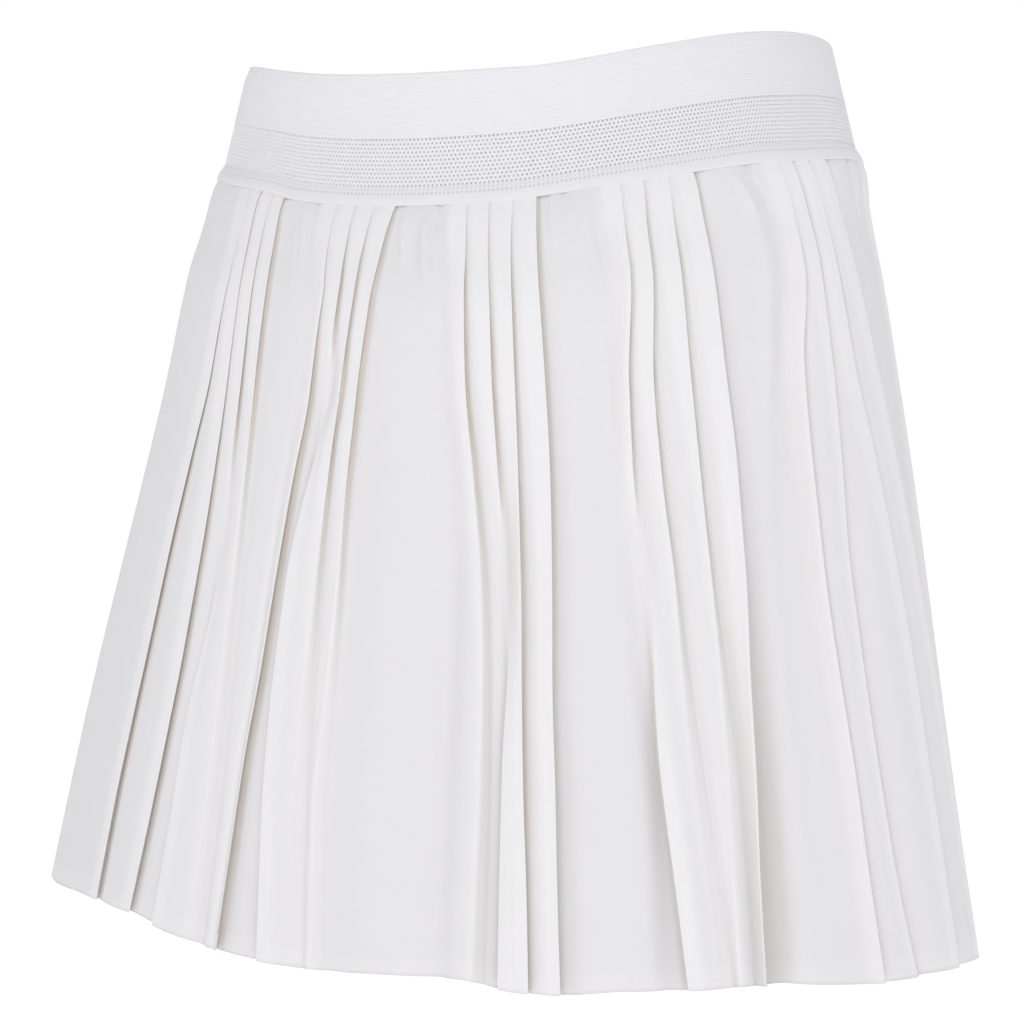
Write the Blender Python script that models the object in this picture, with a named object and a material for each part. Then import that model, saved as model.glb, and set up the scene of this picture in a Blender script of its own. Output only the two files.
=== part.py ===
"""White tennis skort, worn shape with no wearer: an elastic waistband, a skirt
of grouped knife pleats cut as a front and a back, and a pair of inner shorts
cut as two leg panels. Metres, +Z up, the front faces -Y, the wearer's left is +X.
The origin is the centre of the waist opening.
"""
import math

import bmesh
import bpy
import numpy as np

MM = 0.001

# ---------------------------------------------------------------- driving sizes
BAND_HEIGHT = 51 * MM          # top edge of the elastic to the skirt seam
SKORT_LENGTH = 350 * MM        # waist to hem
SEAM_GAP = 0.3 * MM            # clearance between panels that are sewn together
BAND_GAP = 0.45 * MM           # clearance between the waistband and what hangs from it
SKIRT_WALL = 1.0 * MM
SHORTS_WALL = 1.0 * MM
LAYER_PITCH = 1.4 * MM         # mid-line to mid-line of two folded layers
FOLD_BASE = 0.7 * MM           # how far an inner fold stands off the base ring
FOLD_ROOM = 4.8                # least distance from a tuck to the fold before it (mm)
GATHER_HEIGHT = 0.9 * MM       # small gathers between the pleat groups
PANEL_BELLY = 2.0 * MM         # how far a plain panel bows out at the hem
BAND_SEGMENTS = 72
SHORTS_COLUMNS = 26

# Rise and fall of the waist and hem lines round the body: (cos a, cos 2a, sin a)
WAIST_WAVE = (4.5 * MM, -10.0 * MM, 4.0 * MM)
HEM_WAVE = (2.5 * MM, -5.5 * MM, -11.5 * MM)

# Base ring of the skirt, an ellipse at each share of the drop from seam to hem
# share, half width, half depth, centre y (mm)
SKIRT_RINGS = (
    (0.00, 135.5, 101.0, 0.0),
    (0.06, 141.2, 107.8, -4.0),
    (0.13, 146.2, 114.0, -6.5),
    (0.30, 155.5, 121.5, -7.5),
    (0.50, 167.0, 129.0, -10.0),
    (0.75, 181.5, 138.0, -13.5),
    (1.00, 195.5, 147.0, -17.0),
)
LEVELS = (0.0, 0.06, 0.15, 0.27, 0.38, 0.54, 0.74, 1.0)

# Where the next tables are given, as shares of the drop from seam to hem
SHARES = (0.0, 0.13, 0.25, 0.50, 0.75, 1.0)

# How one pleat lies at each share: lap is how far its inner fold lies past its
# outer edge (minus is tucked under), fall is how far it lies deeper (minus is in
# front), turn is the way the cloth doubles back (-1 under, 0 open, 1 over)
PLEATS = {
    "knife": {
        "lap": (-5.0, -4.8, -4.5, -4.0, -3.2, -2.6),
        "fall": (3.0, 3.2, 3.4, 3.9, 4.4, 4.9),
        "turn": (-1.0, -1.0, -1.0, -1.0, -1.0, -1.0),
    },
    "open": {
        "lap": (-5.0, -3.5, -1.5, 2.5, 4.0, 5.0),
        "fall": (3.0, 3.2, 3.4, 3.4, 3.6, 3.8),
        "turn": (-1.0, -1.0, -0.8, -0.3, -0.2, -0.2),
    },
    "over": {
        "lap": (-5.0, -2.0, 3.4, -2.6, -3.4, -3.6),
        "fall": (3.0, 3.2, 0.2, -3.4, -3.4, -3.4),
        "turn": (-1.0, -0.75, 0.1, 1.0, 1.0, 1.0),
    },
    "late_over": {
        "lap": (-5.0, -4.2, -2.5, 3.0, -2.6, -3.6),
        "fall": (3.0, 3.2, 3.2, -0.6, -2.9, -3.4),
        "turn": (-1.0, -1.0, -0.8, 0.2, 0.9, 1.0),
    },
}

# Folds of one group of four pleats: kind, then the degrees of each outer edge
# from the middle of its group at each share
FOLD_SETS = {
    "right_hip": (-36.0, (
        ("knife", -5.3, -3.0, -2.5, -4.5, -5.8, -6.3),
        ("knife", -1.6, 1.6, 3.0, 4.0, 3.5, 2.2),
        ("late_over", 2.2, 5.2, 6.6, 7.6, 8.8, 8.6),
        ("open", 5.8, 8.8, 10.0, 11.6, 13.0, 13.6),
    )),
    "right_front": (-11.0, (
        ("knife", -6.0, -3.6, -3.4, -4.8, -6.0, -6.0),
        ("over", -2.0, -0.4, -0.5, -1.6, -1.5, 0.6),
        ("knife", 2.0, 2.6, 3.1, 1.8, 1.8, 3.6),
        ("knife", 6.0, 6.0, 6.4, 5.8, 5.4, 7.2),
    )),
    "left_front": (14.0, (
        ("open", -6.0, -3.6, -2.6, 0.6, 1.6, 1.4),
        ("late_over", -2.2, 0.4, 1.4, 3.6, 5.4, 5.8),
        ("knife", 1.8, 4.2, 5.2, 6.8, 7.6, 8.4),
        ("knife", 5.8, 8.2, 9.6, 10.8, 11.6, 12.4),
    )),
    "left_hip": (40.5, (
        ("late_over", -6.5, -3.8, -4.6, -3.2, -1.0, 1.4),
        ("knife", -2.5, 0.2, -0.6, 1.0, 2.2, 4.4),
        ("open", 2.2, 4.8, 5.0, 6.0, 6.6, 7.6),
        ("knife", 6.7, 10.0, 10.6, 11.6, 11.4, 11.8),
    )),
    "left_side": (72.0, (
        ("knife", -7.0, -2.6, -5.2, -6.0, -4.6, -3.2),
        ("open", -3.0, 1.8, 1.2, 0.0, 0.6, 3.0),
        ("knife", 1.6, 6.6, 7.6, 12.0, 13.6, 14.4),
        ("knife", 7.0, 12.6, 15.4, 21.0, 24.0, 26.0),
    )),
}

# The twelve groups: middle at the seam (degrees from the front centre towards
# the wearer's left), fold set, lean of the whole group at the hem (degrees)
FRONT_GROUPS = (
    (-85.0, "right_front", -6.0),
    (-36.0, "right_hip", 0.0),
    (-11.0, "right_front", 0.0),
    (14.0, "left_front", 0.0),
    (40.5, "left_hip", 0.0),
    (72.0, "left_side", 0.0),
)
BACK_GROUPS = (
    (108.0, "right_front", 11.0),
    (139.0, "left_hip", 6.0),
    (166.5, "right_front", 2.0),
    (191.5, "left_front", 0.0),
    (216.0, "right_hip", -2.0),
    (244.5, "left_front", -3.0),
)

# Plain panel between two groups: share of the way across, gather height at the
# seam (1 is full), share of the rise to the next pleat's outer edge
PANEL_POINTS = (
    (0.00, 0.0, 0.0),
    (0.11, 1.0, 0.0),
    (0.22, 0.0, 0.0),
    (0.33, 1.0, 0.0),
    (0.44, 0.0, 0.0),
    (0.55, 1.0, 0.0),
    (0.66, 0.0, 0.35),
)
PANEL_START = 3.0              # from the last fold of a group to its plain panel (mm)
SIDE_SEAM = 0.38               # share of the way across the panel at each hip
GATHER_FADE = ((0.0, 1.0), (0.06, 0.55), (0.15, 0.12), (0.30, 0.0))

# Waistband section: drop below the top edge, stand-off from the band face (mm)
BAND_FACE_TOP = (124.0, 104.0)
BAND_FACE_SEAM = (137.5, 103.0)
BAND_SECTION = (
    (0.0, -0.4), (1.0, 0.0), (26.0, 0.0), (43.6, 0.0), (44.2, 1.8), (47.0, 3.0), (51.0, 2.6),
    (51.0, -4.5), (45.0, -4.4), (43.0, -1.6), (1.0, -1.6), (0.0, -1.2),
)

# Inner shorts: height, hip half width, hip half depth, centre y, leg share
# (0 is one hip round, 1 is a closed leg), leg centre x, leg half width, leg half depth
SHORTS_ROWS = (
    (-51.45, 134.0, 99.5, 0.0, 0.0, 77.5, 76.5, 88.0),
    (-70.0, 139.0, 103.0, -2.5, 0.0, 77.5, 76.5, 88.0),
    (-100.0, 145.0, 106.5, -5.0, 0.0, 77.5, 76.5, 88.0),
    (-135.0, 149.5, 108.5, -6.0, 0.02, 77.5, 76.5, 88.0),
    (-168.0, 152.0, 109.0, -6.0, 0.12, 77.5, 76.5, 88.0),
    (-196.0, 153.0, 109.0, -6.0, 0.35, 77.5, 76.5, 88.0),
    (-218.0, 153.5, 108.0, -6.0, 0.66, 77.5, 76.5, 88.0),
    (-235.0, 154.0, 105.0, -6.0, 1.0, 77.8, 76.5, 87.0),
    (-262.0, 154.0, 105.0, -6.0, 1.0, 79.0, 73.0, 84.0),
    (-290.0, 154.0, 105.0, -6.0, 1.0, 80.0, 70.0, 80.0),
)

COLOURS = {
    "waistband": (0.83, 0.83, 0.84, 1.0),
    "skirt_front": (0.86, 0.86, 0.87, 1.0),
    "skirt_back": (0.86, 0.86, 0.87, 1.0),
    "shorts_left": (0.84, 0.84, 0.85, 1.0),
    "shorts_right": (0.84, 0.84, 0.85, 1.0),
}
ROUGHNESS = 0.85


# ------------------------------------------------------------------ base surface
def table(rows, share, column):
    """Value of one column at a share, straight between the rows."""
    return float(np.interp(share, [r[0] for r in rows], [r[column] for r in rows]))


def wave(parts, angle):
    return parts[0] * math.cos(angle) + parts[1] * math.cos(2 * angle) + parts[2] * math.sin(angle)


def ring_size(share):
    return [table(SKIRT_RINGS, share, c) * MM for c in (1, 2, 3)]


def arc_rate(angle, share):
    """Millimetres along the ring for one degree."""
    a, b, _ = ring_size(share)
    per_radian = math.hypot(a * math.cos(angle), b * math.sin(angle))
    return per_radian * math.radians(1) / MM


def skirt_height(angle, share):
    top = -BAND_HEIGHT - BAND_GAP + wave(WAIST_WAVE, angle)
    hem = -SKORT_LENGTH + wave(HEM_WAVE, angle)
    return top + (hem - top) * share


def ring_point(degrees, height, share):
    """A point that stands a height off the base ring, square to it."""
    angle = math.radians(degrees)
    a, b, y0 = ring_size(share)
    normal = np.array((math.sin(angle) / a, -math.cos(angle) / b))
    normal /= np.linalg.norm(normal)
    base = np.array((a * math.sin(angle), -b * math.cos(angle) + y0))
    x, y = base + normal * height
    return (x, y, skirt_height(angle, share))


# ----------------------------------------------------------------------- pleats
def group_folds(group, share):
    """The four pleats of a group: outer edge in degrees, lap and fall in mm, turn."""
    middle, name, lean = group
    home, rows = FOLD_SETS[name]
    scale = arc_rate(math.radians(home), 0) / arc_rate(math.radians(middle), 0)
    folds = []
    inside = middle - 90.0
    for row in rows:
        kind = PLEATS[row[0]]
        offset = np.interp(share, SHARES, row[1:]) * scale
        lap = np.interp(share, SHARES, kind["lap"])
        fall = np.interp(share, SHARES, kind["fall"])
        turn = np.interp(share, SHARES, kind["turn"])
        edge = middle + offset + lean * share
        rate = arc_rate(math.radians(edge), share)
        lap = max(lap, FOLD_ROOM - (edge - inside) * rate)
        inside = edge + max(lap, 0) / rate
        folds.append((edge, lap, fall, turn))
    return folds


def pleat_points(fold, share):
    """Mid-line of one pleat, as four points (degrees, height): two round its
    outer edge, two round its inner fold."""
    edge, lap, fall, turn = fold
    rate = arc_rate(math.radians(edge), share)
    outer = FOLD_BASE + max(fall, 0) * MM
    inner = FOLD_BASE + max(-fall, 0) * MM
    across = LAYER_PITCH / MM * math.cos(turn * math.pi / 2) / 2
    up = LAYER_PITCH * math.sin(turn * math.pi / 2) / 2
    points = []
    for along, height in ((0.0, outer), (lap, inner)):
        points.append((edge + (along - across) / rate, height - up))
        points.append((edge + (along + across) / rate, height + up))
    return points


def panel_ends(last, following, share):
    edge, lap, _, _ = last[-1]
    rate = arc_rate(math.radians(edge), share)
    return edge + (max(lap, 0) + PANEL_START) / rate, following[0][0]


def panel_points(last, following, share):
    """Mid-line of the plain panel from one group's last pleat to the next group."""
    start, end = panel_ends(last, following, share)
    gather = float(np.interp(share, *zip(*GATHER_FADE))) * GATHER_HEIGHT
    crest = pleat_points(following[0], share)[0][1]
    points = []
    for across, gathered, rise in PANEL_POINTS:
        belly = PANEL_BELLY * share * math.sin(math.pi * across)
        height = gather * gathered + crest * rise + belly * (1 - rise)
        points.append((start + (end - start) * across, height))
    return points


def skirt_midline(groups, before, after, share):
    """Mid-line of a skirt piece from one side seam to the other."""
    folds = [group_folds(g, share) for g in (before, *groups, after)]
    line = []
    for number in range(1, len(folds)):
        panel = panel_points(folds[number - 1], folds[number], share)
        start, end = panel_ends(folds[number - 1], folds[number], share)
        seam = start + (end - start) * SIDE_SEAM
        gap = SEAM_GAP / 2 / MM / arc_rate(math.radians(seam), share)
        split = sum(1 for p in PANEL_POINTS if p[0] < SIDE_SEAM)
        flat = (panel[split - 1][1] + panel[split][1]) / 2
        if number == 1:
            panel = [(seam + gap, flat)] + panel[split:]
        if number == len(folds) - 1:
            panel = panel[:split] + [(seam - gap, flat)]
        line += panel
        if number == len(folds) - 1:
            break
        for index, fold in enumerate(folds[number]):
            points = pleat_points(fold, share)
            if index:
                middle = [(line[-1][i] + points[0][i]) / 2 for i in (0, 1)]
                line.append(tuple(middle))
            line += points
    return [ring_point(d, h, share) for d, h in line]


# ------------------------------------------------------------------ mesh helpers
def offset_line(line, distance):
    """A line in plan moved sideways, with the corners mitred."""
    plan = np.array(line)[:, :2]
    steps = np.diff(plan, axis=0)
    steps /= np.linalg.norm(steps, axis=1)[:, None]
    sides = np.stack((steps[:, 1], -steps[:, 0]), axis=1)
    first = np.vstack((sides[:1], sides))
    second = np.vstack((sides, sides[-1:]))
    mitre = first + second
    mitre /= np.maximum(1 + (first * second).sum(axis=1), 0.6)[:, None]
    moved = np.array(line)
    moved[:, :2] += mitre * distance
    return moved


def new_object(name, points, faces):
    mesh = bpy.data.meshes.new(name)
    mesh.from_pydata([tuple(float(v) for v in p) for p in points], [], faces)
    work = bmesh.new()
    work.from_mesh(mesh)
    bmesh.ops.triangulate(work, faces=work.faces)
    bmesh.ops.recalc_face_normals(work, faces=work.faces)
    work.to_mesh(mesh)
    work.free()
    material = bpy.data.materials.new(name)
    material.use_nodes = True
    shader = material.node_tree.nodes["Principled BSDF"]
    shader.inputs["Base Color"].default_value = COLOURS[name]
    shader.inputs["Roughness"].default_value = ROUGHNESS
    shader.inputs["Metallic"].default_value = 0.0
    material.diffuse_color = COLOURS[name]
    mesh.materials.append(material)
    part = bpy.data.objects.new(name, mesh)
    bpy.context.collection.objects.link(part)
    return part


def thick_sheet(name, outer, inner):
    """A closed wall between two grids of points with the same rows and columns."""
    rows = len(outer)
    columns = len(outer[0])
    points = np.concatenate((np.concatenate(outer), np.concatenate(inner)))
    back = rows * columns

    def at(row, column, side):
        return side * back + row * columns + column

    faces = []
    for row in range(rows - 1):
        for column in range(columns - 1):
            quad = ((row, column), (row + 1, column), (row + 1, column + 1), (row, column + 1))
            faces.append([at(r, c, 0) for r, c in quad])
            faces.append([at(r, c, 1) for r, c in reversed(quad)])
    for column in range(columns - 1):
        for row in (0, rows - 1):
            edge = [at(row, column, 0), at(row, column + 1, 0)]
            edge += [at(row, column + 1, 1), at(row, column, 1)]
            faces.append(edge if row == 0 else edge[::-1])
    for row in range(rows - 1):
        for column in (0, columns - 1):
            edge = [at(row + 1, column, 0), at(row, column, 0)]
            edge += [at(row, column, 1), at(row + 1, column, 1)]
            faces.append(edge if column == 0 else edge[::-1])
    return new_object(name, points, faces)


# ----------------------------------------------------------------------- pieces
def make_skirt(name, groups, before, after):
    outer = []
    inner = []
    for share in LEVELS:
        line = skirt_midline(groups, before, after, share)
        outer.append(offset_line(line, SKIRT_WALL / 2))
        inner.append(offset_line(line, -SKIRT_WALL / 2))
    return thick_sheet(name, outer, inner)


def make_waistband():
    points = []
    for segment in range(BAND_SEGMENTS):
        angle = 2 * math.pi * segment / BAND_SEGMENTS
        for drop, proud in BAND_SECTION:
            share = drop * MM / BAND_HEIGHT
            a, b = [t + (s - t) * share for t, s in zip(BAND_FACE_TOP, BAND_FACE_SEAM)]
            normal = np.array((math.sin(angle) / a, -math.cos(angle) / b))
            normal /= np.linalg.norm(normal)
            x = (a * math.sin(angle) + normal[0] * proud) * MM
            y = (-b * math.cos(angle) + normal[1] * proud) * MM
            points.append((x, y, wave(WAIST_WAVE, angle) - drop * MM))
    count = len(BAND_SECTION)
    faces = []
    for segment in range(BAND_SEGMENTS):
        here = segment * count
        there = (segment + 1) % BAND_SEGMENTS * count
        for row in range(count):
            below = (row + 1) % count
            faces.append((here + row, here + below, there + below, there + row))
    return new_object("waistband", points, faces)


def shorts_point(row, across, side):
    """Mid-wall point of a leg panel: 0 is its front edge, 1 its back edge."""
    height, width, depth, centre, leg, leg_x, leg_width, leg_depth = row
    round_hip = math.pi * across
    round_leg = 2 * math.pi * across
    hip = np.array((width * math.sin(round_hip), -depth * math.cos(round_hip)))
    thigh = np.array((leg_x - leg_width * math.cos(round_leg), -leg_depth * math.sin(round_leg)))
    x, y = hip * (1 - leg) + thigh * leg
    z = height * MM
    fade = max(0.0, 1 + (height + BAND_HEIGHT / MM) / 60)
    z += wave(WAIST_WAVE, side * round_hip) * min(fade, 1.0)
    return np.array((x * MM, (y + centre) * MM, z))


def make_shorts(name, side):
    columns = SHORTS_COLUMNS
    grid = []
    for row in SHORTS_ROWS:
        shares = [c / (columns - 1) for c in range(columns)]
        line = np.array([shorts_point(row, s, side) for s in shares])
        clear = SEAM_GAP / 2 + SHORTS_WALL / 2 * row[4]
        line[:, 0] = np.maximum(line[:, 0], clear)
        line[0, 1] -= SEAM_GAP / 2
        line[-1, 1] += SEAM_GAP / 2
        line[:, 0] *= side
        grid.append(line)
    grid = np.array(grid)
    along = np.gradient(grid, axis=1)
    down = np.gradient(grid, axis=0)
    normal = np.cross(along, down)
    normal /= np.linalg.norm(normal, axis=2)[:, :, None]
    normal[0, :, 2] = 0
    normal[-1, :, 2] = 0
    normal[:, 0, 1] *= 1 - grid_leg()
    normal[:, -1, 1] *= 1 - grid_leg()
    half = normal * SHORTS_WALL / 2
    return thick_sheet(name, list(grid + half), list(grid - half))


def grid_leg():
    """The leg share of every row of the shorts."""
    return np.array([row[4] for row in SHORTS_ROWS])


def main():
    for old in list(bpy.data.objects):
        bpy.data.objects.remove(old, do_unlink=True)
    last_back = (BACK_GROUPS[-1][0] - 360, *BACK_GROUPS[-1][1:])
    first_front = (FRONT_GROUPS[0][0] + 360, *FRONT_GROUPS[0][1:])
    make_waistband()
    make_skirt("skirt_front", FRONT_GROUPS, last_back, BACK_GROUPS[0])
    make_skirt("skirt_back", BACK_GROUPS, FRONT_GROUPS[-1], first_front)
    make_shorts("shorts_left", 1)
    make_shorts("shorts_right", -1)


main()
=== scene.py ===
"""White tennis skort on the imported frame: pleated skirt, elastic waistband with
a perforated zone, inner shorts, pale studio and the camera."""
import math

import bpy
import numpy as np
from mathutils import Matrix, Vector


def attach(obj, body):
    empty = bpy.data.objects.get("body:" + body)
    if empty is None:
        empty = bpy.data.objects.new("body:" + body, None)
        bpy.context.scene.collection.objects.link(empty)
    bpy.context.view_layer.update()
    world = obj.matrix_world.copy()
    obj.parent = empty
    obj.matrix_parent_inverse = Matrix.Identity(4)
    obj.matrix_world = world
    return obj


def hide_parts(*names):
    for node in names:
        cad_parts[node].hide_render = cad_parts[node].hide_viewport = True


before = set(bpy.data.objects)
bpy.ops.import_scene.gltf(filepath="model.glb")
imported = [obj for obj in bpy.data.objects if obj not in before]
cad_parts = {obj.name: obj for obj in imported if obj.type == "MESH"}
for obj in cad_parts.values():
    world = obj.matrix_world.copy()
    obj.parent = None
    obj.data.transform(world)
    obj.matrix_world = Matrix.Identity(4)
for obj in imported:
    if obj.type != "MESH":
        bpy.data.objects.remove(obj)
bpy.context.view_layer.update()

MM = 0.001

# ------------------------------------------------------------------ shared sizes
BAND_HEIGHT = 51 * MM
SKORT_LENGTH = 350 * MM
# The waves are results of a program that fitted rings to the photograph's outline,
# rounded to half a millimetre
WAIST_WAVE = (4.5 * MM, -10.0 * MM, 4.0 * MM)   # rise with cos a, cos 2a, sin a
HEM_WAVE = (2.5 * MM, -5.5 * MM, -11.5 * MM)

# Small dips and rises of worn cloth: degrees from the front centre, then mm up.
# Set from places and differences that another program printed, then rounded
TOP_TRIM = ((-180, 0), (-150, -1.0), (-120, -3.4), (-92, -4.6), (-66, -2.8), (-48, -1.0),
            (-26, -0.3), (-5, 0.4), (4, 0.4), (13, 0), (23, -0.9), (41, 0), (60, 0.5),
            (92, -0.9), (130, 0), (180, 0))
SEAM_TRIM = ((-180, 0), (-80, 1.2), (-38, 1.7), (-26, -0.2), (-8, -0.9), (16, -1.1), (24, -0.4),
             (35, 0.3), (60, 0.6), (73, -0.4), (104, 1.4), (130, 0.4), (180, 0))
HEM_TRIM = ((-180, 0), (-85, 0), (-62, -0.8), (-44, 3.2), (-33, 4.0), (-28, 2.4), (-17, -0.8),
            (-6.5, -1.3), (-0.5, 0), (4.5, 1.2), (14.3, 2.2), (19, -0.5), (26, -1.5), (33, 0.5),
            (41, 0.9), (51, 2.0), (68, 0), (85, 1.4), (97, 2.2), (130, 0.5), (180, 0))

# Base ring of the skirt: share of the drop, half width, half depth, centre y (mm),
# worked out from the rings of the outline fit, less room for the folds
SKIRT_RINGS = (
    (-0.012, 135.4, 101.0, 0.0),
    (0.000, 136.9, 102.4, 0.0),
    (0.006, 137.9, 103.5, -0.3),
    (0.06, 141.0, 107.6, -4.0),
    (0.13, 146.0, 113.8, -6.5),
    (0.30, 155.5, 121.5, -7.5),
    (0.50, 167.0, 129.0, -10.0),
    (0.75, 181.5, 138.0, -13.5),
    (1.00, 195.5, 147.0, -17.0),
)

# ------------------------------------------------------------------- pleat tables
# Shares of the drop at which the fold edges and the pleat kinds are given
EDGE_SHARES = (0.0, 0.06, 0.13, 0.25, 0.375, 0.50, 0.625, 0.75, 0.875, 1.0)
KIND_SHARES = (0.0, 0.13, 0.25, 0.50, 0.75, 1.0)

# lap: inner fold past the outer edge (mm, minus is tucked under); fall: how much
# deeper it lies (mm, minus is in front); turn: -1 doubles back under, 1 over
PLEATS = {
    "knife": {
        "lap": (-5.0, -4.8, -4.5, -4.0, -3.4, -2.8),
        "fall": (1.2, 2.4, 3.0, 3.9, 4.5, 5.0),
        "turn": (-1.0, -1.0, -1.0, -1.0, -1.0, -1.0),
    },
    "open": {
        "lap": (-5.0, -3.5, -1.5, 2.5, 4.0, 5.0),
        "fall": (1.2, 2.4, 2.8, 3.0, 3.4, 3.6),
        "turn": (-1.0, -1.0, -0.8, -0.3, -0.2, -0.2),
    },
    "soft": {
        "lap": (-5.0, -4.6, -3.0, 1.5, 5.0, 6.5),
        "fall": (1.2, 2.4, 2.8, 2.6, 2.3, 2.0),
        "turn": (-1.0, -1.0, -0.9, -0.4, -0.2, -0.1),
    },
    "over": {
        "lap": (-5.0, -2.0, 3.4, -2.6, -3.4, -3.6),
        "fall": (1.2, 2.4, 0.2, -3.0, -3.2, -3.4),
        "turn": (-1.0, -0.75, 0.1, 1.0, 1.0, 1.0),
    },
    "late_over": {
        "lap": (-5.0, -4.2, -2.5, 3.0, -2.6, -3.6),
        "fall": (1.2, 2.4, 3.0, -0.6, -2.9, -3.4),
        "turn": (-1.0, -1.0, -0.8, 0.2, 0.9, 1.0),
    },
}

# One group of four pleats: kind, then the degrees of each outer edge from the
# group's middle at every edge share. The fold lines were read off the photograph,
# another program turned them into degrees, and some were changed
FOLD_SETS = {
    "right_hip": (-36.0, (
        ("knife", -5.0, -3.7, -2.0, -1.8, -3.1, -4.2, -4.8, -5.5, -6.0, -6.0),
        ("knife", -1.5, -0.1, 1.9, 3.2, 4.0, 4.4, 4.4, 4.0, 3.4, 2.6),
        ("late_over", 2.5, 3.6, 5.4, 6.7, 7.2, 7.6, 8.0, 8.4, 8.8, 8.8),
        ("open", 5.8, 7.2, 9.0, 10.0, 10.8, 11.6, 12.3, 13.0, 13.3, 13.6),
    )),
    "right_front": (-11.0, (
        ("knife", -5.8, -5.0, -3.2, -3.1, -4.1, -4.7, -5.1, -5.8, -6.0, -6.2),
        ("over", -1.9, -1.3, -0.3, -1.0, -1.9, -2.1, -2.0, -1.5, -0.4, 0.8),
        ("soft", 2.0, 2.0, 2.6, 2.2, 1.8, 1.6, 1.5, 1.8, 2.6, 3.6),
        ("soft", 6.0, 5.6, 5.6, 5.2, 5.0, 5.2, 5.1, 4.8, 5.6, 6.6),
    )),
    "left_front": (14.0, (
        ("open", -6.0, -4.6, -3.5, -2.4, -0.6, 0.8, 1.4, 1.6, 1.5, 1.4),
        ("late_over", -2.2, -0.9, 0.5, 1.6, 2.8, 3.6, 4.6, 5.2, 5.4, 5.6),
        ("knife", 1.8, 2.8, 4.0, 5.0, 5.8, 6.4, 6.8, 7.2, 7.8, 8.2),
        ("knife", 5.8, 7.0, 8.3, 9.5, 10.3, 10.6, 10.7, 11.1, 11.4, 11.8),
    )),
    "left_hip": (40.5, (
        ("late_over", -6.5, -5.0, -3.8, -4.6, -4.4, -3.6, -2.6, -1.2, 0.2, 1.4),
        ("soft", -2.5, -1.3, -0.2, -0.8, -0.2, 0.9, 1.4, 2.2, 3.3, 4.2),
        ("soft", 2.0, 3.4, 4.6, 5.1, 5.7, 6.3, 6.8, 7.0, 7.0, 7.0),
        ("knife", 6.7, 8.7, 10.2, 10.9, 11.5, 11.5, 11.0, 10.7, 10.2, 10.0),
    )),
    "left_side": (72.0, (
        ("knife", -7.0, -3.6, -2.4, -5.2, -5.9, -6.0, -5.4, -4.5, -4.0, -3.2),
        ("open", -3.2, 0.1, 1.7, 1.6, 0.8, -0.2, 0.0, 0.6, 1.6, 3.6),
        ("knife", 1.4, 5.2, 6.6, 7.6, 10.2, 12.2, 13.4, 13.8, 14.2, 14.6),
        ("knife", 7.0, 10.6, 12.8, 15.6, 18.4, 21.0, 22.8, 24.2, 25.2, 26.0),
    )),
}

# How deep each set's pleats stand, as a share of the depths above
PRESSED = {
    "right_hip": 0.42,
    "right_front": 0.7,
    "left_front": 0.85,
    "left_hip": 1.0,
    "left_side": 0.9,
}
PRESSED_OVER = 0.9             # the same for a pleat that has turned over

# The twelve groups: middle at the seam (degrees from the front centre towards the
# wearer's left), fold set, lean of the whole group at the hem (degrees)
FRONT_GROUPS = (
    (-85.0, "right_front", -6.0),
    (-36.0, "right_hip", 0.0),
    (-11.0, "right_front", 0.0),
    (14.0, "left_front", 0.0),
    (40.5, "left_hip", 0.0),
    (72.0, "left_side", 0.0),
)
BACK_GROUPS = (
    (108.0, "right_front", 11.0),
    (139.0, "left_hip", 6.0),
    (166.5, "right_front", 2.0),
    (191.5, "left_front", 0.0),
    (216.0, "right_hip", -2.0),
    (244.5, "left_front", -3.0),
)

CLOTH_GAP = 0.42               # mid-line to mid-line of two folded layers (mm)
FOLD_BASE = 0.8                # how far an inner fold stands off the base ring (mm)
FOLD_ROOM = 4.6                # least distance from a tuck to the fold before it (mm)
SHOULDER = 1.5                 # how far the roundness of a fold reaches (mm)
PANEL_START = 3.0              # last fold of a group to its plain panel (mm)
PANEL_STOPS = 12               # control points across a plain panel
PANEL_END = 0.94               # share of the way across where the last one lies
RISE_START = 0.72              # share of a panel where it starts up to the next fold
STRIP_ROLL = 1.4               # how far a wide strip bows out (mm)
PANEL_FILL = 1.0               # how far it fills out under the band (mm)
PANEL_BELLY = 2.0              # how far a plain panel bows out at the hem (mm)
SIDE_SEAM = 0.38               # share of the way across the panel at each hip
SEAM_GAP = 0.04                # between the front and the back at a side seam (mm)
PER_SPAN = 4                   # mesh columns for each span of the control line
SKIRT_ROWS = 80
HEM_TURN = 7.0                 # depth of the hem's turn-up (mm)
HEM_ROWS = 7
HEM_INWARD = 0.55              # how far inside the cloth the turn-up lies (mm)


# --------------------------------------------------------------------- small maths
def smooth(x, xs, ys):
    """A curve through a table with no overshoot between its points."""
    x, xs, ys = (np.asarray(v, float) for v in (x, xs, ys))
    width = np.diff(xs)
    slope = np.diff(ys) / width
    first = 2 * width[1:] + width[:-1]
    second = width[1:] + 2 * width[:-1]
    same = slope[:-1] * slope[1:] > 0
    low, high = (np.where(same, s, 1.0) for s in (slope[:-1], slope[1:]))
    bend = np.zeros(len(xs))
    bend[1:-1] = np.where(same, (first + second) / (first / low + second / high), 0.0)
    bend[0], bend[-1] = slope[0], slope[-1]
    i = np.clip(np.searchsorted(xs, x, side="right") - 1, 0, len(xs) - 2)
    t = np.clip((x - xs[i]) / width[i], 0, 1)
    a = (1 + 2 * t) * (1 - t) ** 2 * ys[i] + t * (1 - t) ** 2 * width[i] * bend[i]
    b = t * t * (3 - 2 * t) * ys[i + 1] - t * t * (1 - t) * width[i] * bend[i + 1]
    return a + b


def ease(x):
    """0 to 1 with soft ends."""
    x = np.clip(x, 0, 1)
    return x * x * (3 - 2 * x)


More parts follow.
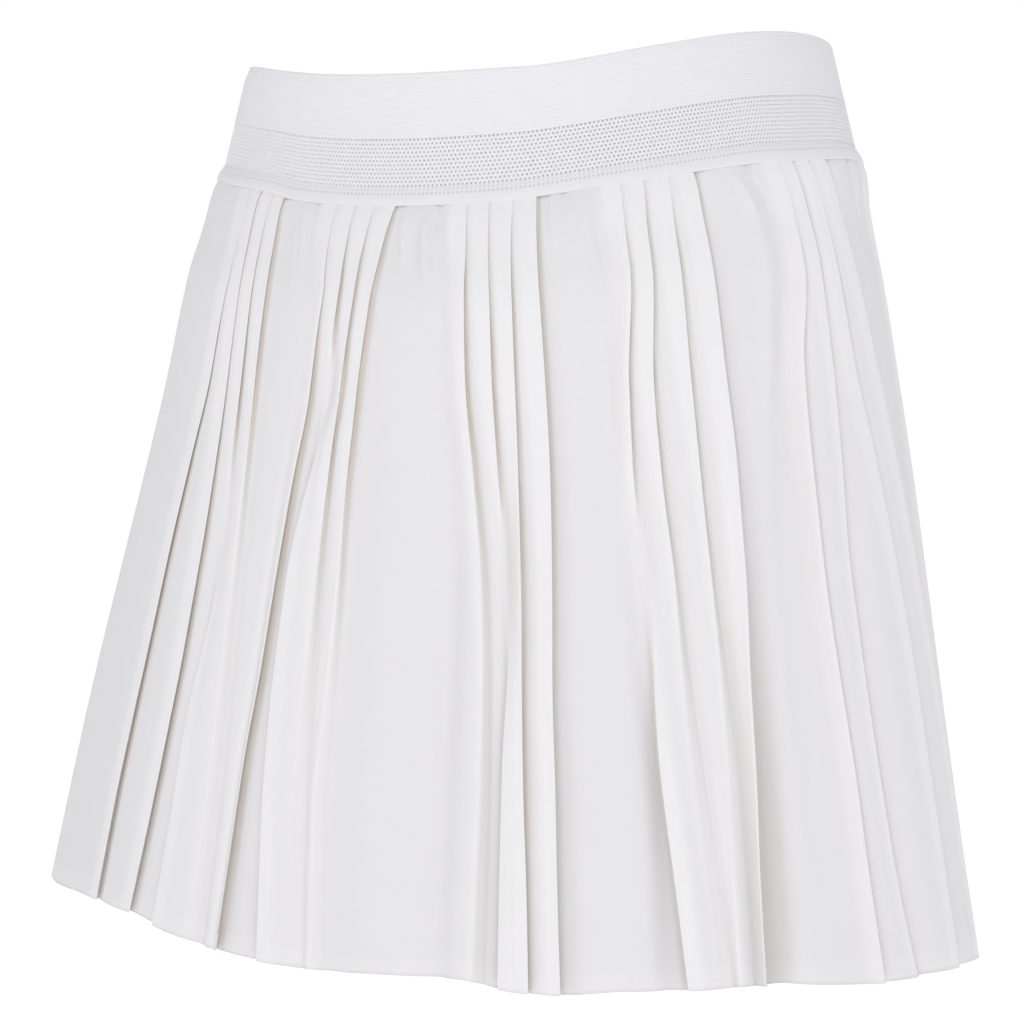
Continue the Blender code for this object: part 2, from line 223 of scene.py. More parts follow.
def wave(parts, angle):
    return parts[0] * np.cos(angle) + parts[1] * np.cos(2 * angle) + parts[2] * np.sin(angle)


def trim(table, angle):
    """Metres up from a trim table, at angles in radians."""
    degrees = (np.degrees(angle) + 180) % 360 - 180
    return smooth(degrees, [row[0] for row in table], [row[1] for row in table]) * MM


def ring_size(share):
    """Half width, half depth and centre y in mm; share is an array."""
    shares = [row[0] for row in SKIRT_RINGS]
    return [smooth(share, shares, [row[c] for row in SKIRT_RINGS]) for c in (1, 2, 3)]


def arc_rate(degrees, share):
    """Millimetres along the ring for one degree."""
    a, b, _ = ring_size(share)
    angle = np.radians(degrees)
    return np.hypot(a * np.cos(angle), b * np.sin(angle)) * math.radians(1)


def skirt_height(angle, share):
    top = -BAND_HEIGHT + wave(WAIST_WAVE, angle) + trim(SEAM_TRIM, angle)
    hem = -SKORT_LENGTH + wave(HEM_WAVE, angle) + trim(HEM_TRIM, angle)
    return top + (hem - top) * share


def ring_point(degrees, height, share, drop=0.0):
    """Points that stand a height (mm) off the base ring, square to it."""
    angle = np.radians(degrees)
    a, b, y0 = ring_size(share)
    nx, ny = np.sin(angle) / a, -np.cos(angle) / b
    size = np.hypot(nx, ny)
    x = a * np.sin(angle) + nx / size * height
    y = -b * np.cos(angle) + ny / size * height + y0
    z = skirt_height(angle, share) + drop * MM
    return np.stack((x * MM, y * MM, z), axis=-1)


# ------------------------------------------------------------------- pleat lines
def group_folds(group, share):
    """The four pleats of a group, as arrays over the shares."""
    middle, name, lean = group
    home, rows = FOLD_SETS[name]
    zero = np.zeros(1)
    scale = float(arc_rate(home, zero)[0] / arc_rate(middle, zero)[0])
    folds = []
    inside = middle - 90.0 + share * 0
    for row in rows:
        kind = PLEATS[row[0]]
        lap, fall, turn = (smooth(share, KIND_SHARES, kind[k]) for k in ("lap", "fall", "turn"))
        pressed = np.where(fall > 0, PRESSED[name], PRESSED_OVER)
        fall = fall * pressed + 0.5 * np.sign(fall) * (1 - pressed)
        edge = middle + smooth(share, EDGE_SHARES, row[1:]) * scale + lean * share
        rate = arc_rate(edge, share)
        lap = np.maximum(lap, FOLD_ROOM - (edge - inside) * rate)
        inside = edge + np.maximum(lap, 0) / rate
        folds.append((edge, lap, fall, turn, rate))
    return folds


def pleat_points(fold):
    """Two points round the outer edge, two round the inner fold: degrees, height."""
    edge, lap, fall, turn, rate = fold
    outer = FOLD_BASE + np.maximum(fall, 0)
    inner = FOLD_BASE + np.maximum(-fall, 0)
    across = CLOTH_GAP * np.cos(turn * math.pi / 2) / 2
    up = CLOTH_GAP * np.sin(turn * math.pi / 2) / 2
    points = []
    for along, height in ((0.0, outer), (lap, inner)):
        points.append((edge + (along - across) / rate, height - up))
        points.append((edge + (along + across) / rate, height + up))
    return points


def between(first, last, rate, middle):
    """Shoulder points on the straight run from one fold to the next."""
    reach = np.hypot((last[0] - first[0]) * rate, last[1] - first[1])
    near = np.minimum(0.3, SHOULDER / np.maximum(reach, 0.1))
    stops = (near, 0.5 + near * 0, 1 - near) if middle else (near, 1 - near)
    points = [[first[i] + (last[i] - first[i]) * s for i in (0, 1)] for s in stops]
    if middle:
        points[1][1] = points[1][1] + STRIP_ROLL * np.clip(reach / 11 - 0.4, 0, 1)
    return [tuple(p) for p in points]


def panel_ends(last, following):
    edge, lap, _, _, rate = last[-1]
    return edge + (np.maximum(lap, 0) + PANEL_START) / rate, following[0][0]


def panel_points(last, following, share):
    """The plain panel from one group's last pleat to the next group's first."""
    start, end = panel_ends(last, following)
    crest = pleat_points(following[0])[0][1]
    points = []
    for stop in np.linspace(0, PANEL_END, PANEL_STOPS):
        belly = PANEL_BELLY * share * math.sin(math.pi * stop)
        rise = float(ease((stop - RISE_START) / (1 - RISE_START)))
        level = FOLD_BASE + belly + PANEL_FILL * ease(1 - share / 0.10) * float(ease(stop * 6 + 0.5))
        points.append((start + (end - start) * stop, level * (1 - rise) + crest * rise))
    return points


def control_line(groups, before, after, share):
    """Degrees and heights of the control points, a column for each."""
    folds = [group_folds(g, share) for g in (before, *groups, after)]
    line = []
    for number in range(1, len(folds)):
        panel = panel_points(folds[number - 1], folds[number], share)
        start, end = panel_ends(folds[number - 1], folds[number])
        seam = start + (end - start) * SIDE_SEAM
        gap = SEAM_GAP / 2 / arc_rate(seam, share)
        split = int(SIDE_SEAM / PANEL_END * (PANEL_STOPS - 1)) + 1
        flat = (panel[split - 1][1] + panel[split][1]) / 2
        if number == 1:
            panel = [(seam + gap, flat)] + panel[split:]
        if number == len(folds) - 1:
            panel = panel[:split] + [(seam - gap, flat)]
        line += panel
        if number == len(folds) - 1:
            break
        for index, fold in enumerate(folds[number]):
            points = pleat_points(fold)
            if index:
                line += between(line[-1], points[0], fold[4], True)
            line += points[:2]
            line += between(points[1], points[2], fold[4], False)
            line += points[2:]
    degrees, heights = (np.stack([p[i] for p in line], axis=1) for i in (0, 1))
    return degrees, heights


def spline_weights(count, per_span):
    """Uniform cubic spline weights of every control point, ends held."""
    stops = np.arange((count - 1) * per_span + 1) / per_span
    weights = np.zeros((len(stops), count))
    for row, stop in enumerate(stops):
        first = min(int(stop), count - 2)
        t = stop - first
        parts = ((1 - t) ** 3, 3 * t ** 3 - 6 * t * t + 4, 1 + 3 * (t + t * t - t ** 3), t ** 3)
        for column, part in zip(range(first - 1, first + 3), parts):
            if column < 0:
                weights[row, 0] += part / 3
                weights[row, 1] -= part / 6
            elif column >= count:
                weights[row, -1] += part / 3
                weights[row, -2] -= part / 6
            else:
                weights[row, column] += part / 6
    return weights


# ------------------------------------------------------------------- soft creases
# Half width and height in mm (minus is a hollow), then share and degrees along it
CREASES = (
    # gathers under the band, front, from the wearer's right hip to the left
    (1.9, 1.4, ((0.0, -23.7), (0.02, -23.2), (0.06, -21.8), (0.11, -20.0))),
    (1.6, -0.5, ((-0.04, -22.0), (0.03, -20.9), (0.08, -19.6))),
    (2.0, 0.7, ((0.01, -25.4), (0.065, -23.4), (0.13, -21.4))),
    (1.8, 1.2, ((0.0, -2.9), (0.02, -2.6), (0.09, -0.8))),
    (1.9, 2.0, ((0.0, 1.4), (0.03, 1.6), (0.07, 2.4), (0.12, 5.0))),
    (1.4, -0.6, ((-0.04, 2.9), (0.02, 3.3), (0.06, 4.4))),
    (1.8, 1.3, ((0.0, 5.2), (0.02, 5.4), (0.08, 7.4))),
    (1.4, -0.4, ((-0.04, 21.2), (0.0, 21.3), (0.04, 22.0))),
    (1.9, 1.4, ((0.0, 22.5), (0.02, 22.7), (0.08, 24.4))),
    (1.5, -0.5, ((-0.04, 24.0), (0.01, 24.3), (0.05, 25.4))),
    (1.9, 1.4, ((0.0, 25.4), (0.02, 25.9), (0.09, 28.6))),
    (1.6, 1.1, ((-0.04, 27.6), (0.045, 29.2), (0.115, 31.6), (0.18, 33.0))),
    (2.2, 1.4, ((0.0, 54.0), (0.02, 56.0), (0.05, 59.0), (0.08, 61.0))),
    (4.5, 2.0, ((0.01, 55.0), (0.05, 58.4), (0.11, 61.4), (0.20, 60.4), (0.34, 58.0))),
    (1.8, -0.7, ((-0.04, 56.5), (0.01, 58.6), (0.04, 61.4), (0.075, 64.8))),
    # long soft rolls of the plain panels
    (9.0, 0.9, ((0.10, -21.5), (0.30, -21.0), (0.55, -21.5), (0.85, -21.0))),
    (8.0, -0.8, ((0.03, 26.0), (0.15, 28.2), (0.27, 29.2), (0.50, 30.0))),
    (7.0, 0.7, ((0.18, 32.4), (0.50, 33.0), (1.02, 33.2))),
    (5.0, -3.0, ((0.25, 34.8), (0.62, 37.0), (0.82, 38.2), (2.2, 39.3))),
    (6.5, -1.9, ((0.07, 65.2), (0.17, 64.4), (0.27, 62.8), (0.49, 60.0), (1.02, 59.8))),
    (8.0, 0.9, ((0.15, 53.6), (0.41, 53.8), (0.60, 55.6), (1.02, 57.0))),
    # the right edge falls a little straighter than the ring
    (48.0, -2.5, ((0.30, 109.0), (0.80, 109.0), (2.0, 109.0))),
    (36.0, 3.4, ((0.20, -72.0), (0.80, -70.0), (2.2, -70.0))),
    # the wide panel left of the middle group rolls out, then dips before it
    (13.0, 2.2, ((0.06, 1.0), (0.50, 1.5), (2.0, 2.5))),
    (7.0, -3.4, ((0.08, 4.8), (0.25, 7.8), (0.50, 10.8), (2.0, 11.4))),
    # the hollow behind the last fold of the left hip's group
    (7.0, -5.0, ((0.25, 55.2), (0.60, 54.2), (2.4, 53.0))),
    (9.0, 1.2, ((0.35, 20.6), (0.60, 21.0), (1.6, 22.0))),
    # gathers and rolls of the hidden side
    (1.9, 0.9, ((0.0, 92.5), (0.02, 92.8), (0.08, 93.6))),
    (1.5, -0.9, ((-0.04, 89.0), (0.02, 89.4), (0.05, 90.0))),
    (1.9, 1.0, ((0.0, 121.7), (0.03, 122.0), (0.07, 123.6))),
    (1.5, -0.9, ((-0.04, 124.6), (0.05, 125.6))),
    (1.9, 0.9, ((0.0, 151.3), (0.03, 151.6), (0.10, 152.8))),
    (1.5, -0.8, ((-0.04, 153.6), (0.05, 154.2))),
    (1.9, 0.9, ((0.0, 179.4), (0.04, 179.8), (0.09, 181.6))),
    (1.4, -0.8, ((-0.04, 181.0), (0.05, 182.0))),
    (1.9, 0.8, ((0.0, 206.7), (0.04, 206.4), (0.08, 205.0))),
    (1.9, 1.0, ((0.0, 235.7), (0.03, 236.0), (0.07, 237.4))),
    (1.4, -0.8, ((-0.04, 237.6), (0.05, 238.6))),
    (1.9, 0.8, ((0.0, 264.6), (0.04, 264.2), (0.09, 263.6))),
    (8.0, 0.9, ((0.12, 123.0), (0.50, 127.0), (1.02, 131.0))),
    (8.0, -0.9, ((0.12, 153.5), (0.50, 157.0), (1.02, 158.0))),
    (8.0, 0.9, ((0.20, 180.5), (1.02, 182.0))),
    (8.0, -0.9, ((0.15, 207.5), (1.02, 206.0))),
    (8.0, 0.8, ((0.20, 237.0), (1.02, 233.0))),
)


DEEP_HOLLOW = -2.5             # hollows deeper than this keep off raised folds (mm)
RAISED_FROM = 2.0              # where a fold starts to count as raised (mm)
RAISED_OVER = 1.6              # and how much higher it counts in full (mm)


def crease_height(degrees, share, heights):
    """The mm that all the creases add; the nearest turn of the ring counts."""
    low_cloth = 1 - ease((heights - RAISED_FROM) / RAISED_OVER)
    total = np.zeros_like(degrees)
    rate = arc_rate(degrees, share)
    for width, height, line in CREASES:
        shares, places = [row[0] for row in line], [row[1] for row in line]
        off = (degrees - smooth(share, shares, places) + 180) % 360 - 180
        long = shares[-1] - max(shares[0], 0)
        start = ease((share - shares[0]) / (0.3 * long) + (shares[0] < 0))
        end = ease((shares[-1] - share) / (0.35 * long + 0.004))
        keep = low_cloth if height < DEEP_HOLLOW else 1
        total += height * np.exp(-(off * rate / width) ** 2) * start * end * keep
    return total


# ------------------------------------------------------------------ mesh helpers
def grid_mesh(name, points, uv=None, closed=False, shade=None):
    """A sheet from a grid of points, with its cloth measured in metres as UV."""
    rows, columns = points.shape[:2]
    index = np.arange(rows * columns).reshape(rows, columns)
    if closed:
        index = np.concatenate((index, index[:, :1]), axis=1)
    quads = np.stack((index[:-1, :-1], index[1:, :-1], index[1:, 1:], index[:-1, 1:]), axis=-1)
    quads = quads.reshape(-1, 4)
    return quad_mesh(name, points.reshape(-1, 3), quads, uv, shade)


def quad_mesh(name, points, quads, uv=None, shade=None):
    mesh = bpy.data.meshes.new(name)
    mesh.vertices.add(len(points))
    mesh.vertices.foreach_set("co", np.ascontiguousarray(points, np.float32).ravel())
    mesh.loops.add(quads.size)
    mesh.loops.foreach_set("vertex_index", quads.astype(np.int32).ravel())
    mesh.polygons.add(len(quads))
    mesh.polygons.foreach_set("loop_start", np.arange(0, quads.size, 4, dtype=np.int32))
    mesh.polygons.foreach_set("use_smooth", np.ones(len(quads), bool))
    mesh.update(calc_edges=True)
    mesh.validate()
    if uv is not None:
        layer = mesh.uv_layers.new(name="cloth")
        flat = uv.reshape(-1, 2)[quads.ravel()]
        layer.data.foreach_set("uv", np.ascontiguousarray(flat, np.float32).ravel())
    for label, values in (shade or {}).items():
        layer = mesh.attributes.new(label, "FLOAT", "POINT")
        layer.data.foreach_set("value", np.ascontiguousarray(values, np.float32).ravel())
    piece = bpy.data.objects.new(name, mesh)
    bpy.context.collection.objects.link(piece)
    return piece


# -------------------------------------------------------------------- materials
def node(tree, kind, **values):
    made = tree.nodes.new(kind)
    for key, value in values.items():
        if key in made.inputs:
            made.inputs[key].default_value = value
        else:
            setattr(made, key, value)
    return made


def cloth_material(name, colour, thread, bump, deep, glow):
    """Matte white cloth: fine threads both ways, soft mottling and a light sheen, with painted shade in folds
    and grooves, a painted highlight on raised fold edges and, when glow is given, a painted glow in the
    deepest folds, all read from mesh attributes.
    """
    material = bpy.data.materials.new(name)
    material.use_nodes = True
    tree = material.node_tree
    link = tree.links.new
    shader = tree.nodes["Principled BSDF"]
    shader.inputs["Roughness"].default_value = 0.8
    shader.inputs["Sheen Weight"].default_value = 0.12
    shader.inputs["Sheen Roughness"].default_value = 0.5
    shader.inputs["Specular IOR Level"].default_value = 0.25
    place = node(tree, "ShaderNodeTexCoord")
    threads = []
    for turn in (0.0, math.pi / 2):
        turned = node(tree, "ShaderNodeMapping")
        turned.inputs["Rotation"].default_value = (0, 0, turn)
        link(place.outputs["UV"], turned.inputs["Vector"])
        weave = node(tree, "ShaderNodeTexWave", Scale=1 / thread * MM / 0.0063, Distortion=0.6)
        weave.inputs["Detail"].default_value = 1.0
        link(turned.outputs["Vector"], weave.inputs["Vector"])
        threads.append(weave)
    both = node(tree, "ShaderNodeMath", operation="MAXIMUM")
    link(threads[0].outputs["Fac"], both.inputs[0])
    link(threads[1].outputs["Fac"], both.inputs[1])
    mottle = node(tree, "ShaderNodeTexNoise", Scale=90.0, Detail=4.0, Roughness=0.6)
    link(place.outputs["Object"], mottle.inputs["Vector"])
    shade = node(tree, "ShaderNodeValToRGB")
    shade.color_ramp.elements[0].color = tuple(c * 0.975 for c in colour) + (1,)
    shade.color_ramp.elements[1].color = tuple(colour) + (1,)
    blend = node(tree, "ShaderNodeMath", operation="MULTIPLY_ADD")
    blend.inputs[1].default_value = 0.35
    link(both.outputs[0], blend.inputs[0])
    link(mottle.outputs["Fac"], blend.inputs[2])
    link(blend.outputs[0], shade.inputs["Fac"])
    # the cloth's layers, painted shade beside steps and a painted highlight on raised fold edges set this
    # tone, from a mesh attribute
    lift = node(tree, "ShaderNodeAttribute", attribute_name="cloth_layers_and_painted_light")
    level = node(tree, "ShaderNodeMix", data_type="RGBA", blend_type="MIX")
    level.inputs[6].default_value = LAYERED_AND_PAINTED_HIGHLIGHT_TINT + (1,)
    level.inputs[7].default_value = THIN_CLOTH_AND_PAINTED_SHADE_TINT + (1,)
    link(lift.outputs["Fac"], level.inputs[0])
    colour_with_painted_light = node(tree, "ShaderNodeMix", data_type="RGBA", blend_type="MULTIPLY")
    colour_with_painted_light.inputs[0].default_value = 1.0
    link(shade.outputs["Color"], colour_with_painted_light.inputs[6])
    link(level.outputs[2], colour_with_painted_light.inputs[7])
    # painted shade: where the 'shade' attribute is high the colour turns to the dark one, standing for shade
    # in folds, grooves and pits
    fold = node(tree, "ShaderNodeAttribute", attribute_name="shade")
    tint = node(tree, "ShaderNodeMix", data_type="RGBA", blend_type="MIX")
    tint.inputs[7].default_value = deep + (1,)
    link(fold.outputs["Fac"], tint.inputs[0])
    link(colour_with_painted_light.outputs[2], tint.inputs[6])
    link(tint.outputs[2], shader.inputs["Base Color"])
    # painted glow: the deepest fold lines give off a little light of their own, though no lamp is there
    if glow:
        deepest = node(tree, "ShaderNodeAttribute", attribute_name="deep")
        through = node(tree, "ShaderNodeMath", operation="MULTIPLY")
        through.inputs[1].default_value = glow
        link(deepest.outputs["Fac"], through.inputs[0])
        shader.inputs["Emission Color"].default_value = PAINTED_FOLD_GLOW + (1,)
        link(through.outputs[0], shader.inputs["Emission Strength"])
    relief = node(tree, "ShaderNodeBump", Strength=bump, Distance=0.0002)
    link(both.outputs[0], relief.inputs["Height"])
    link(relief.outputs["Normal"], shader.inputs["Normal"])
    return material


# Painted shade of the skirt's folds: darker and a little warm where the cloth lies in a crevice
PAINTED_FOLD_SHADE = (0.62, 0.565, 0.50)
PAINTED_FOLD_GLOW = (1.0, 0.92, 0.83)  # painted glow in the deepest folds, standing in for light that has passed through the folded layers
THIN_CLOTH_AND_PAINTED_SHADE_TINT = (0.86, 0.855, 0.86)      # thin single-layer cloth, and painted shade beside a tall fold, where less light falls
LAYERED_AND_PAINTED_HIGHLIGHT_TINT = (1.06, 1.055, 1.045)  # two or more layers look whiter than one; the painted highlight on raised fold edges leans this way too
# white_cloth: its own colour, painted shade in the folds, and a painted glow of strength 0.16 in the deepest
# folds
CLOTH = cloth_material("white_cloth", (0.855, 0.845, 0.832), 0.00045, 0.10, PAINTED_FOLD_SHADE, 0.16)
# white_elastic: its dark colour is painted shade for the rib grooves, stitch pits and hole backs
ELASTIC = cloth_material("white_elastic", (0.815, 0.811, 0.812), 0.0005, 0.0, (0.50, 0.49, 0.49), 0.0)
KNIT = cloth_material("white_knit", (0.83, 0.823, 0.809), 0.0007, 0.2, PAINTED_FOLD_SHADE, 0.0)


# ------------------------------------------------------------------------ skirt
NEAR_COLUMNS = 60              # mesh columns to each side that can tone a place
LAYER_COLUMNS = (12, 61, 4)    # columns compared to find cloth folded on itself
LAYER_FIRST = 0.2              # mm higher before a layer casts painted shade on the one beside it
LAYER_OVER = 0.7               # and mm higher still where it does so in full
LAYER_REACH = 5.0              # mm
CREVICE_REACH = 2.5            # how far a fold's painted shade reaches over the cloth beside it (mm)
CREVICE_POWER = 1.2
CREVICE_FADE = 0.5             # how much weaker it is at the hem
DEEP_REACH = 0.5               # where the painted glow lies: the fold line itself (mm)
DEEP_FADE = 0.7
CREST_REACH = 5.0              # how far the painted highlight along a raised fold's edge reaches (mm)
CREST_POWER = 1.4
STEP_REACH = 2.8               # mm for each mm of the step's height
STEP_POWER = 1.5
LOW_STEPS = (0, 4)             # mm: steps that cast painted shade on the open cloth beside them
TALL_STEPS = (4.5, 7.5)        # mm: steps that cast painted shade as dark as a crevice's
TALL_SHARE = 0.8
# How far the cloth leans from the layered tint to the thin tint, 0 to 1: a plain panel's own level, lighter
# for layers and the hem's turn-up, darker for painted shade beside steps and lighter for the painted
# highlight on raised fold edges
DIM_PANEL = 0.36
DIM_LAYERS = 0.14
DIM_STEPS = 0.75
DIM_HEM = 0.08
DIM_CREST = 0.36


def strongest(degrees, heights, share, steps, tone):
    """At each place, the most that a column nearby gives: tone(mm apart, mm higher)."""
    rate = arc_rate(degrees, share)
    result = np.zeros_like(heights)
    for step in steps:
        left, right = slice(None, -step), slice(step, None)
        for here, there in ((right, left), (left, right)):
            apart = np.abs(degrees[:, there] - degrees[:, here]) * rate[:, here]
            higher = heights[:, there] - heights[:, here]
            result[:, here] = np.maximum(result[:, here], tone(apart, higher))
    return result


def crevice_shade(degrees, heights, share, reach):
    """0 in the open to 1 right beside or under a higher layer, from the folds."""
    def tone(apart, higher):
        above = (higher - LAYER_FIRST) / LAYER_OVER
        return np.clip(1 - apart / reach, 0, 1) * np.clip(above, 0, 1)
    return strongest(degrees, heights, share, range(1, NEAR_COLUMNS + 1), tone)


def step_shadow(degrees, heights, share, steps):
    """Soft painted shadow beside a higher layer, for steps between two heights in mm."""
    low, high = steps

    def tone(apart, higher):
        rise = np.maximum(higher, 0.01)
        beside = np.clip(1 - apart / (STEP_REACH * rise), 0, 1) ** STEP_POWER
        return beside * np.clip((rise - low) / (high - low), 0, 1)
    return strongest(degrees, heights, share, range(1, NEAR_COLUMNS + 1), tone)


def layer_tone(degrees, heights, share):
    """1 where the cloth lies folded on itself, 0 on the plain panels."""
    def tone(apart, higher):
        return ease(1.3 - apart / LAYER_REACH)
    return strongest(degrees, heights, share, range(*LAYER_COLUMNS), tone)


def skirt_shares():
    """Shares of the rows, closer together under the band and at the hem."""
    even = np.linspace(0, 1, SKIRT_ROWS)
    spread = even - 0.055 * np.sin(2 * math.pi * even) - 0.03 * np.sin(math.pi * even)
    return -0.012 + 1.012 * spread


def make_skirt(name, groups, before, after):
    shares = skirt_shares()
    degrees, heights = control_line(groups, before, after, shares)
    weights = spline_weights(degrees.shape[1], PER_SPAN)
    degrees, heights = degrees @ weights.T, heights @ weights.T
    column = shares[:, None] + degrees * 0
    # painted shade in the crevices beside and under higher layers, weaker towards the hem
    shade = crevice_shade(degrees, heights, column, CREVICE_REACH) ** CREVICE_POWER
    shade = shade * (1 - CREVICE_FADE * column)
    # mask of the painted glow: the deepest fold lines, fading towards the hem
    deep = crevice_shade(degrees, heights, column, DEEP_REACH) * (1 - DEEP_FADE * column)
    layers = layer_tone(degrees, heights, column)
    # painted highlight: cloth along the edge of a raised fold, beside a lower layer, is made lighter
    crest = crevice_shade(degrees, -heights, column, CREST_REACH) ** CREST_POWER
    heights = heights + crease_height(degrees, column, heights)
    # painted shade beside steps: soft beside low ones, as dark as a crevice beside the tallest
    soft = step_shadow(degrees, heights, column, LOW_STEPS)
    shade = np.maximum(shade, TALL_SHARE * step_shadow(degrees, heights, column, TALL_STEPS))
    outside = ring_point(degrees, heights, column)
    length = (SKORT_LENGTH - BAND_HEIGHT) / MM
    rows = [outside]
    for step in range(1, HEM_ROWS + 1):
        along = step / HEM_ROWS
        back = min(along * 3, 1.0)
        up = HEM_TURN * ease((along - 0.12) / 0.88)
        share = column[-1] - up / length
        inward = HEM_INWARD * math.sin(back * math.pi / 2)
        row_degrees = interpolate_row(degrees, shares, 1 - up / length)
        row_heights = interpolate_row(heights, shares, 1 - up / length)
        line = ring_point(row_degrees, row_heights, share)
        rows.append(offset_line(line, -inward * MM)[None])
    points = np.concatenate(rows)
    steps = np.linalg.norm(np.diff(points[:, :, :2], axis=1), axis=2)
    across = np.concatenate((np.zeros((len(points), 1)), np.cumsum(steps, axis=1)), axis=1)
    drops = np.linalg.norm(np.diff(points, axis=0), axis=2).mean(axis=1)
    down = np.concatenate(((0,), np.cumsum(drops)))[:, None] + across * 0
    hem_rows = (column * 0 + length * (1 - column)) < HEM_TURN
    # panel level, layers and the hem's turn-up, painted shade beside steps, painted highlight on raised fold
    # edges
    cloth_layers_and_painted_light = DIM_PANEL - layers * DIM_LAYERS + DIM_STEPS * soft - hem_rows * DIM_HEM - DIM_CREST * crest
    cloth_layers_and_painted_light = np.clip(cloth_layers_and_painted_light, 0, 1)
    tones = {"shade": shade, "cloth_layers_and_painted_light": cloth_layers_and_painted_light, "deep": deep}
    tones = {k: np.concatenate((v, np.repeat(v[-1:], HEM_ROWS, axis=0))) for k, v in tones.items()}
    piece = grid_mesh(name, points, np.stack((across, -down), axis=-1), shade=tones)
    piece.data.materials.append(CLOTH)
    return piece


def interpolate_row(table, shares, share):
    share = float(np.clip(share, shares[0], shares[-1]))
    last = int(np.clip(np.searchsorted(shares, share), 1, len(shares) - 1))
    part = (share - shares[last - 1]) / (shares[last] - shares[last - 1])
    return table[last - 1] * (1 - part) + table[last] * part


def offset_line(line, distance):
    """A line in plan moved sideways along its own normal."""
    along = np.gradient(line[:, :2], axis=0)
    along /= np.maximum(np.linalg.norm(along, axis=1), 1e-9)[:, None]
    moved = line.copy()
    moved[:, 0] += along[:, 1] * distance
    moved[:, 1] -= along[:, 0] * distance
    return moved


LAST_BACK = (BACK_GROUPS[-1][0] - 360, *BACK_GROUPS[-1][1:])
FIRST_FRONT = (FRONT_GROUPS[0][0] + 360, *FRONT_GROUPS[0][1:])
skirts = {
    "skirt_front": make_skirt("skirt_front_cloth", FRONT_GROUPS, LAST_BACK, BACK_GROUPS[0]),
    "skirt_back": make_skirt("skirt_back_cloth", BACK_GROUPS, FRONT_GROUPS[-1], FIRST_FRONT),
}

# -------------------------------------------------------------------- waistband
BAND_FACE_TOP = (124.0, 104.0)
BAND_FACE_SEAM = (137.5, 103.0)
HOLE_COLUMNS = 462
HOLE_ROWS = 12
MESH_TOP = 24.8
HOLE_PITCH = 1.6
HOLE_WIDE = 0.21               # half width as a share of the column pitch
HOLE_TALL = 0.27               # half height as a share of the row pitch
WALL = 0.8                     # depth of a hole (mm)
RIM_SINK = 0.12                # how far a hole's rim lies below the face (mm)
HOLE_SHADE = 0.48              # painted shade on a hole's closed back, for the shade inside the hole


def band_point(angle, drop, proud):
    """A point of the band: angle in radians, drop from its top edge and mm proud."""
    share = drop * MM / BAND_HEIGHT
    a, b = [t + (s - t) * share for t, s in zip(BAND_FACE_TOP, BAND_FACE_SEAM)]
    nx, ny = np.sin(angle) / a, -np.cos(angle) / b
    size = np.hypot(nx, ny)
    off = (np.degrees(angle) + 80 + 180) % 360 - 180
    proud = proud - 1.6 * np.exp(-(off / 24) ** 2 - (drop / 4) ** 2)
    x = a * np.sin(angle) + nx / size * proud
    y = -b * np.cos(angle) + ny / size * proud
    z = wave(WAIST_WAVE, angle) + trim(TOP_TRIM, angle) * (1 - share) + trim(SEAM_TRIM, angle) * share
    return np.stack((x * MM, y * MM, z - drop * MM), axis=-1)


def band_strip(name, profile, columns, ripple=None, painted_shade=None):
    """A closed ring from a profile of (drop, proud) points."""
    angle = np.linspace(0, 2 * math.pi, columns, endpoint=False)[None, :]
    drops = np.array([p[0] for p in profile])[:, None]
    prouds = np.array([p[1] for p in profile])[:, None]
    if ripple is not None:
        prouds = prouds + ripple(angle, drops)
    points = band_point(angle + drops * 0, drops + angle * 0, prouds + angle * 0)
    around = angle / (2 * math.pi) * 0.75 + drops * 0
    uv = np.stack((around, -np.cumsum(np.abs(np.gradient(drops, axis=0)), axis=0) * MM + around * 0), axis=-1)
    # painted shade, when given, goes on as the 'shade' attribute
    shade = None if painted_shade is None else {"shade": np.clip(painted_shade(angle, drops) + angle * 0, 0, 1)}
    piece = grid_mesh(name, points, uv, closed=True, shade=shade)
    piece.data.materials.append(ELASTIC)
    return piece


def rib_pitch(drop):
    return 1.25 if drop < 4.4 or drop > MESH_TOP - 3.4 else 1.0


def ribbed_profile():
    """Rounded top edge, bold ribs, fine ribs and bold ribs again, then the back."""
    face = [(1.3, -1.5), (0.5, -1.35), (0.1, -1.0), (0.0, -0.6), (0.15, -0.25), (0.5, 0.0)]
    drop = 0.7
    while drop < MESH_TOP - 0.6:
        pitch = rib_pitch(drop)
        for part, height in ((0.25, 0.1), (0.5, 1.0), (0.78, 0.9), (1.0, 0.0)):
            face.append((drop + pitch * part, height * 0.05 * pitch))
        drop += pitch
    face.append((MESH_TOP + 0.1, 0.0))
    inside = [(d, -WALL - 0.7) for d in np.linspace(1.9, MESH_TOP, 12)]
    return inside[::-1] + face


def rib_groove_painted_shade(angle, drops):
    """Painted shade in the grooves between the ribs, a little darker for the bold ones."""
    grooves = np.zeros_like(drops)
    drop = 0.7
    while drop < MESH_TOP - 0.6:
        pitch = rib_pitch(drop)
        grooves = np.maximum(grooves, (0.15 if pitch > 1.1 else 0.07) * (np.abs(drops - drop) < 0.12))
        drop += pitch
    return grooves


def lip_profile():
    drops = (44.0, 44.2, 44.4, 44.7, 45.0, 45.3, 45.6, 45.9, 46.2, 46.5, 46.8, 47.1, 47.4, 48.0, 48.8, 49.6,
             50.3, 50.8, 51.0, 50.9, 50.2, 48.5)
    prouds = (-0.1, 0.0, 0.1, 0.22, 0.35, 0.5, 0.65, 0.8, 0.95, 1.08, 1.2, 1.3, 1.4, 1.6, 1.78, 1.9,
              1.9, 1.78, 1.5, 1.3, 1.1, 1.0)
    return list(zip(drops, prouds))


